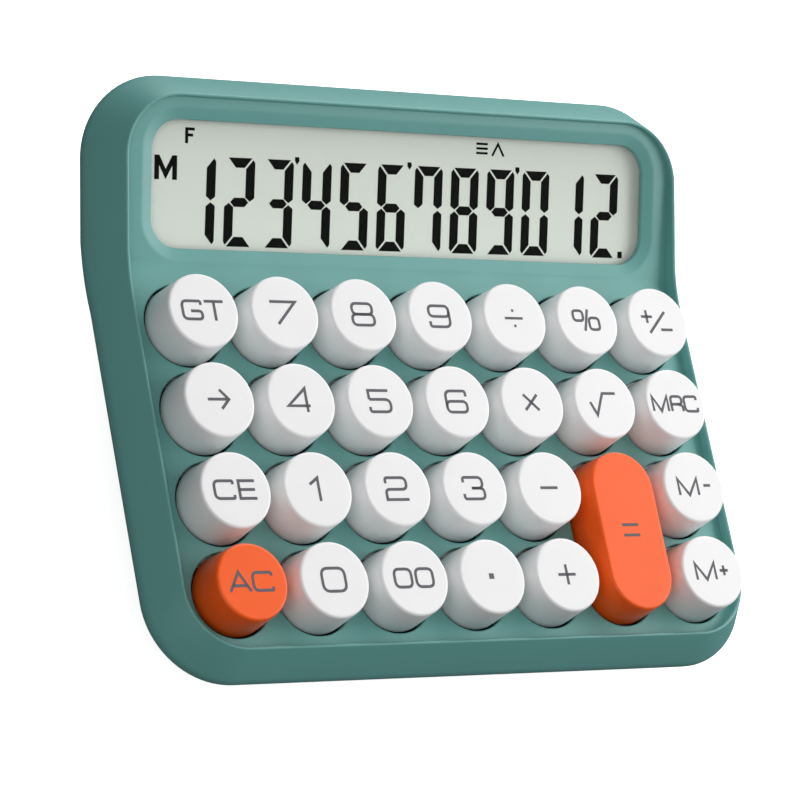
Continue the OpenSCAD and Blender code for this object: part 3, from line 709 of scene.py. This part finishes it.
LEGENDS = {
    "key_gt": moved([line((2.1, 1.1), (2.1, 1.95), (-2.2, 1.95), (-2.2, -1.95), (2.2, -1.95), (2.2, -0.2),
                          (-0.3, -0.2), r=0.9)], -2.4)
    + moved([line((-2.2, 1.95), (2.2, 1.95)), line((0, 1.95), (0, -2.2))], 2.8),
    "key_7": [line((-3.0, 2.3), (3.0, 2.3), (-1.7, -2.6))],
    "key_8": [loop(-2.45, 0.0, 2.45, 2.4, 1.0), loop(-2.65, -2.4, 2.65, 0.0, 1.0)],
    "key_9": NINE,
    "key_divide": [line((-2.3, 0), (2.3, 0)), line((0, 1.45), (0, 2.05)), line((0, -1.45), (0, -2.05))],
    "key_percent": [loop(-3.3, -0.15, -0.7, 2.15, 0.7), loop(0.7, -2.15, 3.3, 0.55, 0.7),
                    line((-0.75, -2.5), (0.75, 2.5))],
    "key_sign": [line((-4.0, 1.2), (-1.0, 1.2)), line((-2.5, -0.3), (-2.5, 2.7)),
                 line((-2.35, -2.6), (2.6, 2.4)), line((0.8, -1.8), (3.9, -1.8))],
    "key_backspace": [line((-2.5, 0), (2.3, 0)), line((0.45, 2.05), (2.35, 0), (0.45, -2.05))],
    "key_4": [line((1.45, -2.6), (1.45, 2.5), (-2.95, -1.25), (2.2, -1.25))],
    "key_5": [line((2.4, 2.25), (-2.45, 2.25), (-2.45, 0.3)),
              line((-2.45, 0.3), (2.6, 0.3), (2.6, -2.4), (-2.5, -2.4), (-2.5, -1.35), r=1.05)],
    "key_6": turned(NINE),
    "key_multiply": [line((-1.75, -1.75), (1.75, 1.75)), line((-1.75, 1.75), (1.75, -1.75))],
    "key_root": [line((-3.6, 0.2), (-2.3, -2.7), (0.0, 2.2), (3.4, 2.2))],
    "key_mrc": moved([line((-2.0, -1.7), (-2.0, 1.7), (0, -1.7), (2.0, 1.7), (2.0, -1.7))], -3.9)
    + moved([line((-1.5, -1.7), (-1.5, 1.7), (1.4, 1.7), (1.4, -0.1), (-1.5, -0.1), r=0.7),
             line((0.1, -0.1), (1.5, -0.4), (1.5, -1.7), r=0.6)], 0.55)
    + moved([line((1.6, 0.9), (1.6, 1.7), (-1.7, 1.7), (-1.7, -1.7), (1.7, -1.7), (1.7, -0.9), r=0.8)], 4.35),
    "key_ce": moved(LETTER_C, -2.45) + moved([line((2.0, 1.85), (-1.7, 1.85), (-1.7, -1.85), (2.1, -1.85)),
                                              line((-1.7, 0.0), (1.9, 0.0))], 2.7),
    "key_1": [line((-1.5, 1.0), (0.5, 2.4), (0.5, -2.55))],
    "key_2": [line((-2.45, 1.15), (-2.45, 2.35), (2.5, 2.35), (2.5, -0.15), (-2.6, -0.15),
                   (-2.6, -2.1), r=1.1),
              line((-2.6, -1.6), (-2.6, -2.35), (2.65, -2.35))],
    "key_3": [line((-2.45, 1.25), (-2.45, 2.35), (2.25, 2.35), (2.25, 0.0), (-0.5, 0.0), r=1.0),
              line((-0.5, 0.0), (2.5, 0.0), (2.5, -2.35), (-2.6, -2.35), (-2.6, -1.25), r=1.0)],
    "key_minus": [line((-2.2, 0), (2.2, 0))],
    "key_equals": [line((-2.1, 1.15), (2.1, 1.15)), line((-2.1, -1.15), (2.1, -1.15))],
    "key_m_minus": moved(LETTER_M, -1.3) + [line((2.9, 0.3), (4.7, 0.3))],
    "key_ac": moved([line((-2.35, -2.0), (0, 2.0), (2.35, -2.0)), line((-1.6, -0.8), (1.6, -0.8))], -2.7)
    + moved(LETTER_C, 2.6),
    "key_0": [loop(-2.7, -2.4, 2.7, 2.4, 1.25)],
    "key_00": [loop(-4.6, -1.9, -0.55, 1.9, 1.0), loop(0.55, -1.9, 4.6, 1.9, 1.0)],
    "key_point": [line((-0.6, 0), (0.6, 0))],
    "key_plus": [line((-2.2, 0), (2.2, 0)), line((0, -2.2), (0, 2.2))],
    "key_m_plus": moved(LETTER_M, -1.6) + [line((2.2, 0.1), (4.4, 0.1)), line((3.3, -1.0), (3.3, 1.2))],
}
LEGEND_SHIFT = (-0.3, 0.0)
HEAVY_LEGENDS = {"key_point": 1.2, "key_divide": 0.56}


def make_legend(name):
    x, y, _, _ = KEYS[name]
    shape = Shape()
    width = HEAVY_LEGENDS.get(name, LEGEND_LINE)
    for points, r, closed in LEGENDS[name]:
        placed = [(x + LEGEND_SHIFT[0] + px, y + LEGEND_SHIFT[1] + py) for px, py in points]
        path = softened(placed, r, closed) if r else [Vector(p) for p in placed]
        add_line(shape, path, closed, width, CAP_RISE - 0.05, CAP_RISE + INK_RAISE)
    title = "legend_" + name[4:]
    piece(title, shape.mesh(title, DECK, 60), "legend_ink", name)


# --- Display ---

SEGMENTS = {"0": "abcdef", "1": "bc", "2": "abged", "3": "abgcd", "4": "fgbc", "5": "afgcd",
            "6": "afgedc", "7": "fabc", "8": "abcdefg", "9": "abcdfg"}


def segment_outlines():
    """The seven segments of one digit, each an outline from its lower left corner."""
    w, h, t, middle = DIGIT_W, DIGIT_H, DIGIT_LINE, DIGIT_H / 2
    top = [(0.75, h), (w - 0.75, h), (w - t - 0.35, h - t + 0.15), (t + 0.35, h - t + 0.15)]
    upper = [(w - 0.5, h - 0.35), (w - 0.03, h - 1.0), (w - 0.03, middle + 0.95),
             (w - t / 2, middle + 0.2), (w - t, middle + 1.05), (w - t, h - t - 0.1)]
    across = [(t / 2 + 0.35, middle), (t + 0.15, middle + t / 2 - 0.15),
              (w - t - 0.15, middle + t / 2 - 0.15), (w - t / 2 - 0.35, middle),
              (w - t - 0.15, middle - t / 2 + 0.15), (t + 0.15, middle - t / 2 + 0.15)]

    def flipped(outline):
        return [(x, h - y) for x, y in outline]

    def mirrored(outline):
        return [(w - x, y) for x, y in outline]

    return {"a": top, "b": upper, "c": flipped(upper), "d": flipped(top),
            "e": mirrored(flipped(upper)), "f": mirrored(upper), "g": across}


def add_slab(shape, outline, low, high):
    """A thin closed slab with a convex outline."""
    count = len(outline)
    points = [(x, y, low) for x, y in outline] + [(x, y, high) for x, y in outline]
    faces = [list(range(count))[::-1], list(range(count, 2 * count))]
    faces += [[i, (i + 1) % count, count + (i + 1) % count, count + i] for i in range(count)]
    shape.add(points, faces)


def make_segments():
    shape = Shape()
    low, high = -LCD_DEPTH - 0.02, -LCD_DEPTH + 0.03
    outlines = segment_outlines()
    for i, digit in enumerate(DISPLAYED):
        left = DIGIT_LEFT + i * DIGIT_PITCH
        for name in SEGMENTS[digit]:
            add_slab(shape, [(left + x + DIGIT_LEAN * y, DIGIT_FOOT + y) for x, y in outlines[name]],
                     low, high)
        if i in (2, 5, 8):
            x, y = left + DIGIT_W + 1.0, DIGIT_FOOT + DIGIT_H
            add_slab(shape, [(x + 0.1, y - 0.9), (x + 0.7, y - 0.1), (x + 0.6, y + 0.7), (x - 0.4, y + 0.7),
                             (x - 0.4, y - 0.1)], low, high)
    point_x = DIGIT_LEFT + 12 * DIGIT_PITCH - 1.05
    add_slab(shape, [(point_x - 0.6, DIGIT_FOOT), (point_x + 0.6, DIGIT_FOOT),
                     (point_x + 0.6, DIGIT_FOOT + 1.45), (point_x - 0.6, DIGIT_FOOT + 1.45)], low, high)
    for points, width in memory_marks():
        add_line(shape, [Vector(p) for p in points], False, width, low, high)
    panel = (DISPLAY @ Matrix.Translation((0, DISPLAY_SHIFT * MM, 0))
             @ Matrix.Rotation(DISPLAY_TURN, 4, "Z"))
    piece("lcd_segments", shape.mesh("lcd_segments", panel, 60), "segment_ink", "root")


def memory_marks():
    """The small annunciators above the digits: memory, floating point, and two plain marks."""
    return [
        (((-59.9, 1.1), (-59.9, 6.1)), 1.1),
        (((-55.7, 1.1), (-55.7, 6.1)), 1.1),
        (((-59.8, 5.9), (-57.8, 2.2), (-55.8, 5.9)), 1.0),
        (((-53.0, 8.7), (-53.0, 11.95)), 0.7),
        (((-53.2, 11.65), (-51.1, 11.65)), 0.6),
        (((-53.2, 10.4), (-51.5, 10.4)), 0.6),
        (((18.9, 9.6), (21.9, 9.6)), 0.5),
        (((18.9, 10.6), (21.9, 10.6)), 0.5),
        (((18.9, 11.6), (21.9, 11.6)), 0.5),
        (((23.1, 9.1), (24.6, 11.7), (26.1, 9.1)), 0.5),
    ]


# --- Stage ---


FLOOR_GLOW = 0.75


def make_floor():
    bpy.ops.mesh.primitive_plane_add(size=6, location=(0, 0, 0))
    floor = bpy.context.object
    floor.name = "floor"
    material, nodes, links, shader = new_material("floor")
    varied(nodes, links, noise(nodes, links, 2), (0.93, 0.93, 0.93), (0.95, 0.95, 0.95),
           shader.inputs["Base Color"])
    shader.inputs["Roughness"].default_value = 0.9
    shader.inputs["Specular IOR Level"].default_value = 0.0
    shader.inputs["Emission Color"].default_value = (1, 1, 1, 1)
    shader.inputs["Emission Strength"].default_value = FLOOR_GLOW
    floor.data.materials.append(material)
    floor.visible_diffuse = False
    floor.visible_glossy = False


CAMERA_AT = Vector((-412.1, -205.1, 577.0))
CAMERA_RIGHT = Vector((0.8366, -0.1840, 0.5160))
CAMERA_DOWN = Vector((0.0086, -0.9374, -0.3483))
CAMERA_LENS = 158.87


def make_camera():
    data = bpy.data.cameras.new("camera")
    camera = bpy.data.objects.new("camera", data)
    bpy.context.scene.collection.objects.link(camera)
    data.lens = CAMERA_LENS
    data.sensor_width = 36
    data.clip_start, data.clip_end = 0.01, 50
    right = CAMERA_RIGHT.normalized()
    back = right.cross(-CAMERA_DOWN).normalized()
    turn = Matrix((right, back.cross(right), back)).transposed().to_4x4()
    camera.matrix_world = DECK @ Matrix.Translation(CAMERA_AT * MM) @ turn
    bpy.context.scene.camera = camera


def area_light(name, place, size, power, colour=(1, 1, 1)):
    """A soft box aimed at the calculator; place is in metres from its middle."""
    data = bpy.data.lights.new(name, "AREA")
    data.shape = "RECTANGLE"
    data.size, data.size_y = size
    data.energy = power
    data.color = colour
    light = bpy.data.objects.new(name, data)
    bpy.context.scene.collection.objects.link(light)
    light.location = place
    light.rotation_mode = "QUATERNION"
    light.rotation_quaternion = (-Vector(place)).to_track_quat("-Z", "Y")


def make_lights():
    area_light("right_box", (1.0, 0.1, 0.6), (1.0, 1.0), 8.5)
    area_light("back_box", (0.5, 0.95, 0.6), (1.0, 1.0), 11.5)
    area_light("front_box", (0.85, -0.4, 0.7), (1.0, 1.0), 4)
    area_light("left_front_box", (-0.75, -0.5, 0.8), (1.0, 1.0), 5.5)
    world = bpy.data.worlds.new("studio")
    world.use_nodes = True
    world.node_tree.nodes["Background"].inputs["Color"].default_value = (1, 1, 1, 1)
    world.node_tree.nodes["Background"].inputs["Strength"].default_value = 0.1
    bpy.context.scene.world = world
    bpy.context.scene.view_settings.view_transform = "Standard"


finish_cad_nodes()
make_front_case()
for key in KEYS:
    make_cap(key)
    make_slider(key)
    make_spring(key)
    make_legend(key)
make_segments()
make_floor()
make_camera()
make_lights()
